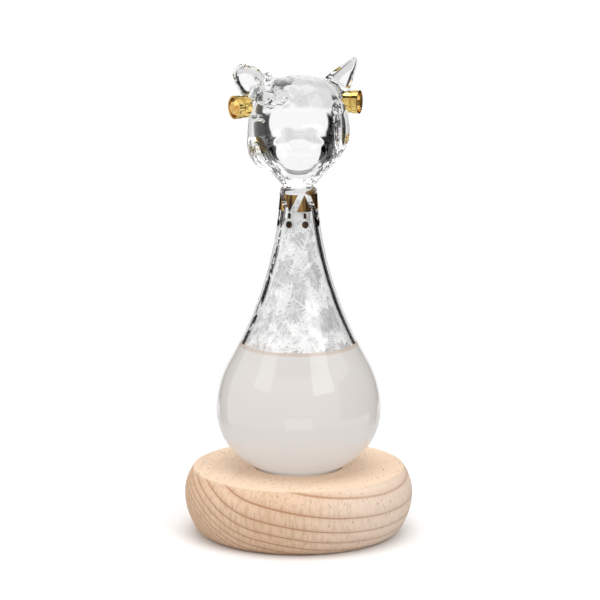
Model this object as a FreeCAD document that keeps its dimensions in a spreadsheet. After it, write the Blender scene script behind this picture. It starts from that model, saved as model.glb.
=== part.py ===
import FreeCAD, Part
import os
import re
import Sketcher

# Storm glass: a drop of blown glass with a solid cat head on its neck, filled with a camphor
# solution and standing loose in a turned wooden base.
# Millimetres. The origin is the centre of the base's underside, +Z is up, the cat faces -Y.

os.makedirs("parts", exist_ok=True)
doc = FreeCAD.newDocument("storm_glass")

# ---------------------------------------------------------------------------------------
# Driving sizes. Every name holds an underscore, which is how sized() below finds them.
# ---------------------------------------------------------------------------------------
SIZES = [
    ("base_height", "24.5", "wooden base, overall height"),
    ("base_top_radius", "38.5", "flat top face of the base"),
    ("base_wide_radius", "41.8", "widest part of the base"),
    ("base_wide_height", "15", "height of the widest part"),
    ("base_foot_radius", "36", "base where it meets the table, before rounding"),
    ("base_foot_round", "5", "rounding under the base"),
    ("base_rim_round", "0.6", "rounding of the top rim and the recess rim"),
    ("recess_radius", "16.3", "shallow recess that locates the glass"),
    ("recess_depth", "3.4", "depth of that recess"),
    ("pad_thickness", "1", "loose felt pad in the recess"),
    ("pad_clearance", "0.3", "gap between the pad and the recess wall"),
    ("glass_wall", "1.8", "wall of the blown drop"),
    ("floor_thickness", "2.4", "glass at the foot of the drop"),
    ("bulb_radius", "30", "widest radius of the drop"),
    ("bulb_height", "45.9", "height of the widest part of the drop"),
    ("under_radius", "22.5", "arc below the widest part"),
    ("bottom_radius", "35", "arc across the bottom of the drop"),
    ("shoulder_radius", "37", "arc above the widest part"),
    ("shoulder_angle", "30", "degrees of that arc"),
    ("neck_sweep", "139", "hollow arc that runs up the neck"),
    ("neck_top", "126.6", "where the neck meets the head"),
    ("cavity_straight_top", "119.4", "where the cavity starts to close"),
    ("filler_radius", "3", "filling hole in the foot"),
    ("seal_radius", "4.5", "counterbore for the seal"),
    ("seal_depth", "0.7", "depth of the counterbore"),
    ("plug_head_radius", "4", "plug inside the drop"),
    ("plug_head_height", "1.5", "height of that end of the plug"),
    ("fill_height", "69.3", "surface of the liquid"),
    ("fill_clearance", "0.02", "gap between the liquid and the glass"),
    ("collar_clearance", "0.02", "gap between the gold marks and the neck"),
    ("collar_thickness", "0.15", "thickness of the gold marks"),
    ("triangle_bottom", "119.9", "collar triangles, lower edge"),
    ("triangle_top", "126", "collar triangles, upper edge"),
    ("triangle_width", "5.7", "collar triangles, along the base"),
    ("short_bar_bottom", "117.5", "bars under the triangles, lower edge"),
    ("short_bar_top", "119.4", "bars under the triangles, upper edge"),
    ("short_bar_width", "1", "bars under the triangles"),
    ("dot_height", "115.3", "centre of the dots"),
    ("dot_radius", "1.25", "dots under the bars"),
    ("upright_angle", "18", "first upright triangle, from the front towards +X"),
    ("inverted_angle", "-27", "first inverted triangle"),
    ("head_half_width", "18.5", "cat head at the cheeks"),
    ("head_half_depth", "14.5", "cat head, front to back"),
    ("head_height", "41.8", "from the top of the neck to the crown"),
    ("ear_root_depth", "11", "both ears at the root, front to back"),
    ("left_ear_spread", "12.3", "blunt ear at -X, root sideways from the centre"),
    ("left_ear_root_height", "161.4", "its root, inside the head"),
    ("left_ear_root_width", "12.6", ""),
    ("left_ear_length", "14.2", "from root to tip"),
    ("left_ear_lean", "45.5", "degrees outwards"),
    ("right_ear_spread", "10", "pointed ear at +X, root sideways from the centre"),
    ("right_ear_root_height", "158.7", "its root, inside the head"),
    ("right_ear_root_width", "12.8", ""),
    ("right_ear_length", "19.2", "from root to tip"),
    ("right_ear_lean", "41", "degrees outwards"),
    ("cup_radius", "4", "gold barrel of the ear stud"),
    ("cup_bezel_radius", "4.2", "bezel at its front"),
    ("cup_length", "5.8", "barrel, back to front"),
    ("cup_bezel_length", "2.2", "bezel, along the barrel"),
    ("cup_wall", "0.6", "metal around the stone"),
    ("cup_pocket_depth", "2", "pocket for the stone"),
    ("stub_radius", "1.2", "glued stub behind the barrel"),
    ("stub_length", "3", "stub before it is fitted to the glass"),
    ("left_stud_spread", "18.2", "back of the left stud, sideways from the centre"),
    ("right_stud_spread", "16.3", "back of the right stud, sideways from the centre"),
    ("stud_step", "0.06", "a stud sits this much nearer the front per degree of its turn"),
    ("stone_radius", "3.5", "faceted stone at its girdle"),
    ("table_radius", "2.2", "flat facet on the stone"),
    ("stone_rise", "1.1", "stone above its girdle"),
    ("stone_clearance", "0.05", "gap between the stone and the cup"),
    ("left_stud_height", "157.5", "left stud above the table"),
    ("right_stud_height", "159.2", "right stud above the table"),
    ("left_stud_turn", "32", "degrees about +Z, which brings the left stud to the front"),
    ("right_stud_turn", "-17", "degrees about +Z, which brings the right stud to the front"),
    ("leaf_root_height", "70.2", "crystals stand just above the liquid"),
    ("leaf_tip_height", "109", "tips of the tall crystals"),
    ("leaf_thickness", "0.6", "crystal blades"),
    # Derived sizes.
    ("seat_height", "=base_height - recess_depth + pad_thickness", "foot of the glass"),
    ("foot_outer_height", "=seat_height + floor_thickness", "floor of the cavity"),
    ("shoulder_centre_x", "=bulb_radius - shoulder_radius", ""),
    ("under_centre_x", "=bulb_radius - under_radius", ""),
    ("arc_gap", "=bottom_radius - under_radius", "between the two lower arc centres"),
    ("bottom_centre_z", "=bulb_height + sqrt(arc_gap^2 - under_centre_x^2)", ""),
    ("neck_reach", "=shoulder_radius + neck_sweep", ""),
    ("neck_centre_x", "=shoulder_centre_x + neck_reach * cos(shoulder_angle)", ""),
    ("neck_centre_z", "=bulb_height + neck_reach * sin(shoulder_angle)", ""),
]

sheet = doc.addObject("Spreadsheet::Sheet", "Sizes")
for row, (alias, value, meaning) in enumerate(SIZES, start=1):
    sheet.set(f"A{row}", alias)
    sheet.set(f"B{row}", value)
    sheet.set(f"C{row}", meaning)
    sheet.setAlias(f"B{row}", alias)
doc.recompute()


def sized(text):
    """Point every size name in a formula at the Sizes sheet."""
    return re.sub(r"[a-z]+(_[a-z]+)+", r"Sizes.\g<0>", text)


def number(text):
    """Value of a formula of size names."""
    return float(sheet.evalExpression(sized(text)))


def bind(thing, **formulas):
    """Drive properties of an object by formulas; __ in a keyword stands for a dot."""
    for name, text in formulas.items():
        thing.setExpression(name.replace("__", "."), sized(text))


# ---------------------------------------------------------------------------------------
# Sketch helpers
# ---------------------------------------------------------------------------------------
def new_body(label):
    return doc.addObject("PartDesign::Body", label)


def new_sketch(body, name, plane_role, lift="0"):
    """Sketch on one of the body's own planes, lifted along the plane's normal."""
    sketch = body.newObject("Sketcher::SketchObject", name)
    plane = [item for item in body.Origin.OriginFeatures if item.Role == plane_role][0]
    sketch.AttachmentSupport = (plane, [""])
    sketch.MapMode = "FlatFace"
    bind(sketch, AttachmentOffset__Base__z=lift)
    return sketch


def pin_point(sketch, edge, end, x_text, y_text):
    """Hold one end of an edge at formulas for x and y."""
    for kind, axis, text in (("DistanceX", -2, x_text), ("DistanceY", -1, y_text)):
        if text == "0":
            sketch.addConstraint(Sketcher.Constraint("PointOnObject", edge, end, axis))
        else:
            rule = Sketcher.Constraint(kind, -1, 1, edge, end, number(text))
            place = sketch.addConstraint(rule)
            sketch.setExpression(f"Constraints[{place}]", sized(text))


def arc_between(start, finish, radius, centre_on_left):
    """Minor arc between two points, drawn anticlockwise as Sketcher keeps it."""
    if not centre_on_left:
        start, finish = finish, start
    chord = finish - start
    normal = FreeCAD.Vector(-chord.y, chord.x, 0).normalize()
    reach = (radius ** 2 - (chord.Length / 2) ** 2) ** 0.5
    centre = start + chord * 0.5 + normal * reach
    circle = Part.Circle(centre, FreeCAD.Vector(0, 0, 1), radius)
    return Part.ArcOfCircle(circle, circle.parameter(start), circle.parameter(finish))


def add_outline(sketch, corners):
    """Closed outline. A corner is (x, y) for a straight run to the next corner, or
    (x, y, radius, side) for an arc whose centre is on that side of the way along."""
    count = len(corners)
    points = [FreeCAD.Vector(number(corner[0]), number(corner[1]), 0) for corner in corners]
    ends = []
    for index, corner in enumerate(corners):
        start = points[index]
        finish = points[(index + 1) % count]
        if len(corner) == 2:
            sketch.addGeometry(Part.LineSegment(start, finish))
            ends.append((1, 2))
        else:
            left = corner[3] == "left"
            sketch.addGeometry(arc_between(start, finish, number(corner[2]), left))
            ends.append((1, 2) if left else (2, 1))
    for index in range(count):
        after = (index + 1) % count
        rule = Sketcher.Constraint("Coincident", index, ends[index][1], after, ends[after][0])
        sketch.addConstraint(rule)
    for index, corner in enumerate(corners):
        pin_point(sketch, index, ends[index][0], corner[0], corner[1])
        if len(corner) == 4:
            rule = Sketcher.Constraint("Radius", index, number(corner[2]))
            place = sketch.addConstraint(rule)
            sketch.setExpression(f"Constraints[{place}]", sized(corner[2]))


def add_circle(sketch, radius, y_text="0"):
    """Circle centred on the sketch's vertical axis."""
    centre = FreeCAD.Vector(0, number(y_text), 0)
    sketch.addGeometry(Part.Circle(centre, FreeCAD.Vector(0, 0, 1), number(radius)))
    pin_point(sketch, 0, 3, "0", y_text)
    place = sketch.addConstraint(Sketcher.Constraint("Radius", 0, number(radius)))
    sketch.setExpression(f"Constraints[{place}]", sized(radius))


def add_ellipse(sketch, half_width, half_depth, x_text):
    """Ellipse on the sketch's x axis, with its long axis along it."""
    wide = number(half_width)
    deep = number(half_depth)
    centre = FreeCAD.Vector(number(x_text), 0, 0)
    across = centre + FreeCAD.Vector(wide, 0, 0)
    along = centre + FreeCAD.Vector(0, deep, 0)
    sketch.addGeometry(Part.Ellipse(across, along, centre))
    sketch.exposeInternalGeometry(0)
    pin_point(sketch, 0, 3, x_text, "0")
    sketch.addConstraint(Sketcher.Constraint("Horizontal", 1))
    for axis, text in ((1, half_width), (2, half_depth)):
        rule = Sketcher.Constraint("Distance", axis, 2 * number(text))
        place = sketch.addConstraint(rule)
        sketch.setExpression(f"Constraints[{place}]", sized(f"2 * ({text})"))


def turned(body, name, sketch, kind="PartDesign::Revolution"):
    """Full turn about the sketch's vertical axis; a Groove removes material."""
    feature = body.newObject(kind, name)
    feature.Profile = sketch
    feature.ReferenceAxis = (sketch, ["V_Axis"])
    feature.Angle = 360
    doc.recompute()
    return feature


def edge_rings(feature, radius, height):
    """Names of the round edges of a feature at one radius and height."""
    names = []
    for index, edge in enumerate(feature.Shape.Edges, start=1):
        box = edge.BoundBox
        at_height = abs(box.ZMax - height) < 0.01 and abs(box.ZMin - height) < 0.01
        if at_height and abs(box.XMax - radius) < 0.01:
            names.append(f"Edge{index}")
    return names


def rounded(body, name, feature, radius, height, size):
    fillet = body.newObject("PartDesign::Fillet", name)
    fillet.Base = (feature, edge_rings(feature, number(radius), number(height)))
    bind(fillet, Radius=size)
    doc.recompute()
    return fillet


# ---------------------------------------------------------------------------------------
# Outlines of the drop. "inset" is how far the wanted surface lies inside the outer glass.
# ---------------------------------------------------------------------------------------
def neck_radius(height, inset):
    """Radius of the neck's hollow arc at a height."""
    return f"neck_centre_x - sqrt((neck_sweep + {inset})^2 - ({height} - neck_centre_z)^2)"


def bottom_reach(height, inset):
    """Radius of the bottom arc at a height."""
    return f"sqrt((bottom_radius - {inset})^2 - (bottom_centre_z - {height})^2)"


def drop_side(floor, inset):
    """Corners from the floor up to the start of the neck's arc."""
    under = f"(under_radius - {inset})"
    shoulder = f"(shoulder_radius - {inset})"
    return [
        (bottom_reach(floor, inset), floor, f"bottom_radius - {inset}", "left"),
        (
            f"under_centre_x + {under} * under_centre_x / arc_gap",
            f"bulb_height - {under} * (bottom_centre_z - bulb_height) / arc_gap",
            under,
            "left",
        ),
        (f"bulb_radius - {inset}", "bulb_height", shoulder, "left"),
        (
            f"shoulder_centre_x + {shoulder} * cos(shoulder_angle)",
            f"bulb_height + {shoulder} * sin(shoulder_angle)",
            f"neck_sweep + {inset}",
            "right",
        ),
    ]


# ---------------------------------------------------------------------------------------
# Base and pad
# ---------------------------------------------------------------------------------------
def build_wooden_base():
    body = new_body("wooden_base")
    under_side = "base_wide_radius - base_foot_radius"
    over_side = "base_wide_radius - base_top_radius"
    over_height = "base_height - base_wide_height"
    section = new_sketch(body, "base_section", "XZ_Plane")
    add_outline(section, [
        ("0", "0"),
        (
            "base_foot_radius",
            "0",
            f"(({under_side})^2 + base_wide_height^2) / (2 * ({under_side}))",
            "left",
        ),
        (
            "base_wide_radius",
            "base_wide_height",
            f"(({over_side})^2 + ({over_height})^2) / (2 * ({over_side}))",
            "left",
        ),
        ("base_top_radius", "base_height"),
        ("0", "base_height"),
    ])
    turned(body, "base_turning", section)
    mouth = new_sketch(body, "recess_outline", "XY_Plane", "base_height")
    add_circle(mouth, "recess_radius")
    recess = body.newObject("PartDesign::Pocket", "recess")
    recess.Profile = mouth
    bind(recess, Length="recess_depth")
    doc.recompute()
    foot = rounded(body, "foot_rounding", recess, "base_foot_radius", "0", "base_foot_round")
    rim = rounded(body, "rim_rounding", foot, "base_top_radius", "base_height", "base_rim_round")
    rounded(body, "recess_rounding", rim, "recess_radius", "base_height", "base_rim_round")
    return body


def build_seat_pad():
    body = new_body("seat_pad")
    outline = new_sketch(body, "pad_outline", "XY_Plane", "base_height - recess_depth")
    add_circle(outline, "recess_radius - pad_clearance")
    pad = body.newObject("PartDesign::Pad", "pad_disc")
    pad.Profile = outline
    bind(pad, Length="pad_thickness")
    return body


# ---------------------------------------------------------------------------------------
# Drop, liquid, crystals and plug
# ---------------------------------------------------------------------------------------
def build_glass_vessel():
    body = new_body("glass_vessel")
    outside = new_sketch(body, "outside", "XZ_Plane")
    add_outline(outside, [("0", "seat_height")] + drop_side("seat_height", "0") + [
        (neck_radius("neck_top", "0"), "neck_top"),
        ("0", "neck_top"),
    ])
    turned(body, "drop", outside)

    dome = neck_radius("cavity_straight_top", "glass_wall")
    inside = new_sketch(body, "inside", "XZ_Plane")
    add_outline(inside, [("0", "foot_outer_height")] + drop_side("foot_outer_height", "glass_wall") + [
        (dome, "cavity_straight_top", dome, "left"),
        ("0", f"cavity_straight_top + {dome}"),
    ])
    turned(body, "cavity", inside, "PartDesign::Groove")

    filler = new_sketch(body, "filler_section", "XZ_Plane")
    add_outline(filler, [
        ("0", "seat_height"),
        ("seal_radius", "seat_height"),
        ("seal_radius", "seat_height + seal_depth"),
        ("filler_radius", "seat_height + seal_depth"),
        ("filler_radius", "foot_outer_height"),
        ("0", "foot_outer_height"),
    ])
    turned(body, "filler_hole", filler, "PartDesign::Groove")
    return body


def build_filler_plug():
    body = new_body("filler_plug")
    section = new_sketch(body, "plug_section", "XZ_Plane")
    add_outline(section, [
        ("0", "seat_height + seal_depth"),
        ("filler_radius", "seat_height + seal_depth"),
        ("filler_radius", "foot_outer_height"),
        ("plug_head_radius", "foot_outer_height"),
        ("plug_head_radius - 0.5", "foot_outer_height + plug_head_height"),
        ("0", "foot_outer_height + plug_head_height"),
    ])
    turned(body, "plug", section)
    return body


def build_plug_seal():
    body = new_body("plug_seal")
    outline = new_sketch(body, "seal_outline", "XY_Plane", "seat_height + 0.1")
    add_circle(outline, "seal_radius")
    pad = body.newObject("PartDesign::Pad", "seal_disc")
    pad.Profile = outline
    bind(pad, Length="seal_depth - 0.1")
    return body


def build_storm_liquid():
    body = new_body("storm_liquid")
    inset = "(glass_wall + fill_clearance)"
    floor = "(foot_outer_height + fill_clearance)"
    section = new_sketch(body, "fill_section", "XZ_Plane")
    plug_edge = "plug_head_radius + fill_clearance"
    plug_top = "foot_outer_height + plug_head_height + fill_clearance"
    add_outline(section, [(plug_edge, floor)] + drop_side(floor, inset) + [
        (neck_radius("fill_height", inset), "fill_height"),
        ("0", "fill_height"),
        ("0", plug_top),
        (plug_edge, plug_top),
    ])
    turned(body, "fill", section)
    return body


def build_crystals(label, count, root, belly, tip, inner):
    """Ring of thin pointed blades around the axis; each argument is (x, z)."""
    body = new_body(label)
    blade = new_sketch(body, f"{label}_blade", "XZ_Plane")
    add_outline(blade, [root, belly, tip, inner])
    pad = body.newObject("PartDesign::Pad", f"{label}_pad")
    pad.Profile = blade
    pad.Midplane = True
    bind(pad, Length="leaf_thickness")
    ring = body.newObject("PartDesign::PolarPattern", f"{label}_ring")
    ring.Originals = [pad]
    ring.Axis = (blade, ["V_Axis"])
    ring.Angle = 360
    ring.Occurrences = count
    body.Tip = ring
    return body


def build_crystal_feathers():
    return build_crystals(
        "crystal_feathers",
        7,
        ("10", "leaf_root_height"),
        ("12.5", "leaf_root_height + 12"),
        ("3.6", "leaf_tip_height"),
        ("6", "leaf_root_height + 14"),
    )


def build_crystal_tufts():
    body = build_crystals(
        "crystal_tufts",
        7,
        ("13.5", "leaf_root_height"),
        ("15.6", "leaf_root_height + 5"),
        ("9.6", "leaf_root_height + 20"),
        ("10.8", "leaf_root_height + 6"),
    )
    bind(body, Placement__Rotation__Angle="180 / 7")
    return body


# ---------------------------------------------------------------------------------------
# Gold collar: marks cut from a thin sleeve that follows the neck
# ---------------------------------------------------------------------------------------
def build_collar_sleeve():
    body = new_body("collar_sleeve")
    near = "(0 - collar_clearance)"
    far = "(0 - collar_clearance - collar_thickness)"
    low = "dot_height - 2 * dot_radius"
    high = "triangle_top + 0.3"
    section = new_sketch(body, "sleeve_section", "XZ_Plane")
    add_outline(section, [
        (neck_radius(f"({low})", near), low),
        (neck_radius(f"({low})", far), low, f"neck_sweep + {far}", "right"),
        (neck_radius(f"({high})", far), high),
        (neck_radius(f"({high})", near), high, f"neck_sweep + {near}", "left"),
    ])
    turned(body, "sleeve", section)
    return body


def build_marks(label, sleeve, draw, count, first_angle):
    """Cut a ring of marks from the sleeve with a star of punches."""
    punch = new_body(f"{label}_punch")
    outline = new_sketch(punch, f"{label}_outline", "XZ_Plane")
    draw(outline)
    pad = punch.newObject("PartDesign::Pad", f"{label}_arm")
    pad.Profile = outline
    bind(pad, Length="bulb_radius")
    star = punch.newObject("PartDesign::PolarPattern", f"{label}_star")
    star.Originals = [pad]
    star.Axis = (outline, ["V_Axis"])
    star.Angle = 360
    star.Occurrences = count
    punch.Tip = star
    bind(punch, Placement__Rotation__Angle=first_angle)
    marks = doc.addObject("Part::Common", label)
    marks.Base = sleeve
    marks.Tool = punch
    return marks


def draw_upright_triangle(sketch):
    add_outline(sketch, [
        ("0 - triangle_width / 2", "triangle_bottom"),
        ("triangle_width / 2", "triangle_bottom"),
        ("0", "triangle_top"),
    ])


def draw_inverted_triangle(sketch):
    add_outline(sketch, [
        ("0 - triangle_width / 2", "triangle_top"),
        ("0", "triangle_bottom"),
        ("triangle_width / 2", "triangle_top"),
    ])


def draw_bar(sketch):
    add_outline(sketch, [
        ("0 - short_bar_width / 2", "short_bar_bottom"),
        ("short_bar_width / 2", "short_bar_bottom"),
        ("short_bar_width / 2", "short_bar_top"),
        ("0 - short_bar_width / 2", "short_bar_top"),
    ])


def draw_dot(sketch):
    add_circle(sketch, "dot_radius", "dot_height")


# ---------------------------------------------------------------------------------------
# Cat head and ears
# ---------------------------------------------------------------------------------------
def add_loft(body, name, stations):
    """Smooth loft through ellipses; a station is (height, half width, half depth, x)."""
    sketches = []
    for index, (height, wide, deep, across) in enumerate(stations, start=1):
        sketch = new_sketch(body, f"{name}_{index}", "XY_Plane", height)
        add_ellipse(sketch, wide, deep, across)
        sketches.append(sketch)
    loft = body.newObject("PartDesign::AdditiveLoft", name)
    loft.Profile = sketches[0]
    loft.Sections = sketches[1:]
    loft.Ruled = False
    doc.recompute()
    return loft


def add_ellipsoid(body, name, centre, radii):
    """Ellipsoid with half sizes along X, Y and Z."""
    lump = body.newObject("PartDesign::AdditiveEllipsoid", name)
    bind(
        lump,
        Radius2=radii[0],
        Radius3=radii[1],
        Radius1=radii[2],
        Placement__Base__x=centre[0],
        Placement__Base__y=centre[1],
        Placement__Base__z=centre[2],
    )
    doc.recompute()


def build_cat_head():
    body = new_body("cat_head")
    # (share of the head height, share of the half width, share of the half depth)
    shares = [
        (0.0, 0.35, 0.435),
        (0.07, 0.36, 0.44),
        (0.20, 0.62, 0.64),
        (0.36, 0.90, 0.88),
        (0.52, 1.0, 1.0),
        (0.70, 0.98, 0.99),
        (0.86, 0.81, 0.84),
        (0.96, 0.53, 0.56),
        (1.0, 0.20, 0.22),
    ]
    stations = []
    for up, across, deep in shares:
        stations.append((
            f"neck_top + head_height * {up}",
            f"head_half_width * {across}",
            f"head_half_depth * {deep}",
            "0",
        ))
    add_loft(body, "skull", stations)
    muzzle_centre = ("0", "0 - head_half_depth * 0.62", "neck_top + head_height * 0.43")
    add_ellipsoid(body, "muzzle", muzzle_centre, ("9.6", "8.6", "6.4"))
    nose_centre = ("0", "0 - head_half_depth * 1.12", "neck_top + head_height * 0.49")
    add_ellipsoid(body, "nose", nose_centre, ("2.2", "1.8", "1.5"))
    return body


def build_ear(side, name, head, drift, shares):
    """Leaning ear, trimmed so that it sits on the head without sharing any glass.
    Shares are (share of the ear's length, share of its root size); drift is how fast the
    ear's centre line moves inwards along it."""
    blank = new_body(f"{name}_blank")
    stations = []
    for up, size in shares:
        stations.append((
            f"{name}_length * {up}",
            f"{name}_root_width / 2 * {size}",
            f"ear_root_depth / 2 * {size}",
            f"0 - {side} * {drift} * {name}_length * {up}" if drift * up else "0",
        ))
    add_loft(blank, f"{name}_loft", stations)
    blank.setExpression("Placement", sized(
        f"placement(vector({side} * {name}_spread; 0; {name}_root_height); "
        f"rotation(vector(0; 1; 0); {side} * {name}_lean))"
    ))
    ear = doc.addObject("Part::Cut", name)
    ear.Base = blank
    ear.Tool = head
    return ear


# ---------------------------------------------------------------------------------------
# Ear studs. Built facing +Z from the back of the cup, then turned to face sideways.
# ---------------------------------------------------------------------------------------
def stud_placement(side, spread, turn, height):
    """Back of the cup on the glass beside the ear, facing sideways and turned a little."""
    return sized(
        f"placement(vector({side} * {spread}; 0 - stud_step * abs({turn}); {height}); "
        f"rotation(vector(0; 0; 1); {turn}) * rotation(vector(0; 1; 0); {side} * 90))"
    )


def build_stud_cup(name, side, spread, turn, height, head, ear):
    """Turned cup with its stub, trimmed where it meets the glass of the head and the ear."""
    blank = new_body(f"{name}_blank")
    section = new_sketch(blank, f"{name}_section", "XZ_Plane")
    pocket_radius = "cup_bezel_radius - cup_wall"
    bezel_back = "cup_length - cup_bezel_length"
    add_outline(section, [
        ("0", "0 - stub_length"),
        ("stub_radius", "0 - stub_length"),
        ("stub_radius", "0"),
        ("cup_radius - 0.5", "0"),
        ("cup_radius", "0.5"),
        ("cup_radius", f"{bezel_back} - 0.4"),
        ("cup_radius - 0.3", f"{bezel_back} - 0.2"),
        ("cup_bezel_radius", bezel_back),
        ("cup_bezel_radius", "cup_length"),
        (pocket_radius, "cup_length"),
        (pocket_radius, "cup_length - 0.9"),
        ("1.6", "cup_length - cup_pocket_depth"),
        ("0", "cup_length - cup_pocket_depth"),
    ])
    turned(blank, f"{name}_turning", section)
    blank.setExpression("Placement", stud_placement(side, spread, turn, height))
    glass = doc.addObject("Part::Compound", f"{name}_seat")
    glass.Links = [head, ear]
    cup = doc.addObject("Part::Cut", name)
    cup.Base = blank
    cup.Tool = glass
    return cup


def build_stone(name, side, spread, turn, height):
    """Octagonal stone: pavilion facets, a thin girdle and a flat table."""
    body = new_body(name)
    seat = "cup_length - 0.9 + stone_clearance"
    levels = [
        ("cup_length - cup_pocket_depth + stone_clearance", "1.3"),
        (seat, "stone_radius"),
        (f"{seat} + 0.3", "stone_radius"),
        (f"{seat} + 0.3 + stone_rise", "table_radius"),
    ]
    sketches = []
    for index, (level, radius) in enumerate(levels, start=1):
        sketch = new_sketch(body, f"{name}_{index}", "XY_Plane", level)
        corners = []
        for corner in range(8):
            angle = 22.5 + 45 * corner
            corners.append((f"{radius} * cos({angle})", f"{radius} * sin({angle})"))
        add_outline(sketch, corners)
        sketches.append(sketch)
    for lower, upper in zip(sketches, sketches[1:]):
        facets = body.newObject("PartDesign::AdditiveLoft", f"{lower.Label}_facets")
        facets.Profile = lower
        facets.Sections = [upper]
        facets.Ruled = True
        doc.recompute()
    body.setExpression("Placement", stud_placement(side, spread, turn, height))
    return body


# ---------------------------------------------------------------------------------------
# Assembly
# ---------------------------------------------------------------------------------------
nodes = [
    build_wooden_base(),
    build_seat_pad(),
    build_glass_vessel(),
    build_filler_plug(),
    build_plug_seal(),
    build_storm_liquid(),
    build_crystal_feathers(),
    build_crystal_tufts(),
]

collar_sleeve = build_collar_sleeve()
nodes += [
    build_marks("collar_triangles_upright", collar_sleeve, draw_upright_triangle, 4, "upright_angle"),
    build_marks("collar_triangles_inverted", collar_sleeve, draw_inverted_triangle, 4, "inverted_angle"),
    build_marks("collar_bars", collar_sleeve, draw_bar, 8, "upright_angle"),
    build_marks("collar_dots", collar_sleeve, draw_dot, 8, "upright_angle"),
]

cat_head = build_cat_head()
blunt = [(0.0, 1.0), (0.35, 0.91), (0.62, 0.72), (0.85, 0.47), (1.0, 0.2)]
pointed = [(0.0, 1.0), (0.36, 0.83), (0.61, 0.585), (0.82, 0.355), (0.97, 0.15), (1.0, 0.08)]
left_ear = build_ear(-1, "left_ear", cat_head, 0, blunt)
right_ear = build_ear(1, "right_ear", cat_head, 0.13, pointed)
left_stud = (-1, "left_stud_spread", "left_stud_turn", "left_stud_height")
right_stud = (1, "right_stud_spread", "right_stud_turn", "right_stud_height")
nodes += [
    cat_head,
    left_ear,
    right_ear,
    build_stud_cup("left_stud_cup", *left_stud, cat_head, left_ear),
    build_stud_cup("right_stud_cup", *right_stud, cat_head, right_ear),
    build_stone("left_stud_stone", *left_stud),
    build_stone("right_stud_stone", *right_stud),
]

doc.recompute()
for thing in doc.Objects:
    if "Invalid" in thing.State or "Error" in thing.State:
        raise RuntimeError(f"{thing.Label} did not build: {thing.State}")
for node in nodes:
    if node.Shape.isNull() or not node.Shape.isValid() or not node.Shape.Solids:
        raise RuntimeError(f"{node.Label} has no valid solid")
    box = node.Shape.BoundBox
    print(
        f"{node.Label}: {len(node.Shape.Solids)} solids, {node.Shape.Volume:.1f} mm3, "
        f"x {box.XMin:.1f}..{box.XMax:.1f}, y {box.YMin:.1f}..{box.YMax:.1f}, "
        f"z {box.ZMin:.1f}..{box.ZMax:.1f}"
    )
    node.Shape.exportStep(f"parts/{node.Label}.step")
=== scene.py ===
import math
import random

import bpy
import numpy as np
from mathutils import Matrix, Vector


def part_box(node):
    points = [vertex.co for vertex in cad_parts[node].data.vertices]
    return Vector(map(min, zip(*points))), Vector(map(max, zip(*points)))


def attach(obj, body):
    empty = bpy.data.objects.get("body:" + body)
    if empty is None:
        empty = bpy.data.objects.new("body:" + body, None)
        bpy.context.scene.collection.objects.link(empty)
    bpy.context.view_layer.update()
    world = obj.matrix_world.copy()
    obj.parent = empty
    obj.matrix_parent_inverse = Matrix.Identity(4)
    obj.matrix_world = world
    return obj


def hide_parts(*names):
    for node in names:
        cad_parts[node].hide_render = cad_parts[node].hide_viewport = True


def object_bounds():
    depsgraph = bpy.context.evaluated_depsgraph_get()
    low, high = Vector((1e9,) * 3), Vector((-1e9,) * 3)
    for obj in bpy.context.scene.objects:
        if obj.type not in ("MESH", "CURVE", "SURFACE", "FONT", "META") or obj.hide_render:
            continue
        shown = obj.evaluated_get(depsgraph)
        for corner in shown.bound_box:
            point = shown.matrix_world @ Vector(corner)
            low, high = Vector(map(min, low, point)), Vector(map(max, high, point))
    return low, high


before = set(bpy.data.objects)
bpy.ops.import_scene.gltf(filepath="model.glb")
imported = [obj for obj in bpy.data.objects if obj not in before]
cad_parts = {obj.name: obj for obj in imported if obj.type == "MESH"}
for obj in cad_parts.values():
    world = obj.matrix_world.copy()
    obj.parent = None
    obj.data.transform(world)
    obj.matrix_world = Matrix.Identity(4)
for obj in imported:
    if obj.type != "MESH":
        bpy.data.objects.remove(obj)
cad_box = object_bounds()

# Storm glass with a cat head. Lengths are in millimetres until mesh_piece() turns them into metres.
MM = 0.001
rng = random.Random(7)


def box_mm(node):
    """Lowest and highest corner of a CAD node in millimetres."""
    low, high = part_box(node)
    return low / MM, high / MM


# ---------------------------------------------------------------------------------------
# Sizes, read from the CAD nodes where a box gives them
# ---------------------------------------------------------------------------------------
vessel_low, vessel_high = box_mm("glass_vessel")
liquid_high = box_mm("storm_liquid")[1]
seal_high = box_mm("plug_seal")[1]

FOOT = vessel_low.z
NECK_TOP = vessel_high.z
BULB = vessel_high.x
FILL = liquid_high.z
WALL = 1.8
FLOOR = FOOT + 2.4
FILLER_RADIUS = 3.0
SEAL_RADIUS = 4.5
DOME_START = 119.4
BULB_HEIGHT = FOOT + 23.8
BOTTOM_ARC = 35.0
UNDER_ARC = 22.5
SHOULDER_ARC = 37.0
NECK_ARC = 139.0
SHOULDER_TURN = math.radians(30)
UNDER_CENTRE = BULB - UNDER_ARC
SHOULDER_CENTRE = BULB - SHOULDER_ARC
BOTTOM_CENTRE = BULB_HEIGHT + math.sqrt((BOTTOM_ARC - UNDER_ARC) ** 2 - UNDER_CENTRE ** 2)
NECK_CENTRE_X = SHOULDER_CENTRE + (SHOULDER_ARC + NECK_ARC) * math.cos(SHOULDER_TURN)
NECK_CENTRE_Z = BULB_HEIGHT + (SHOULDER_ARC + NECK_ARC) * math.sin(SHOULDER_TURN)


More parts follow.
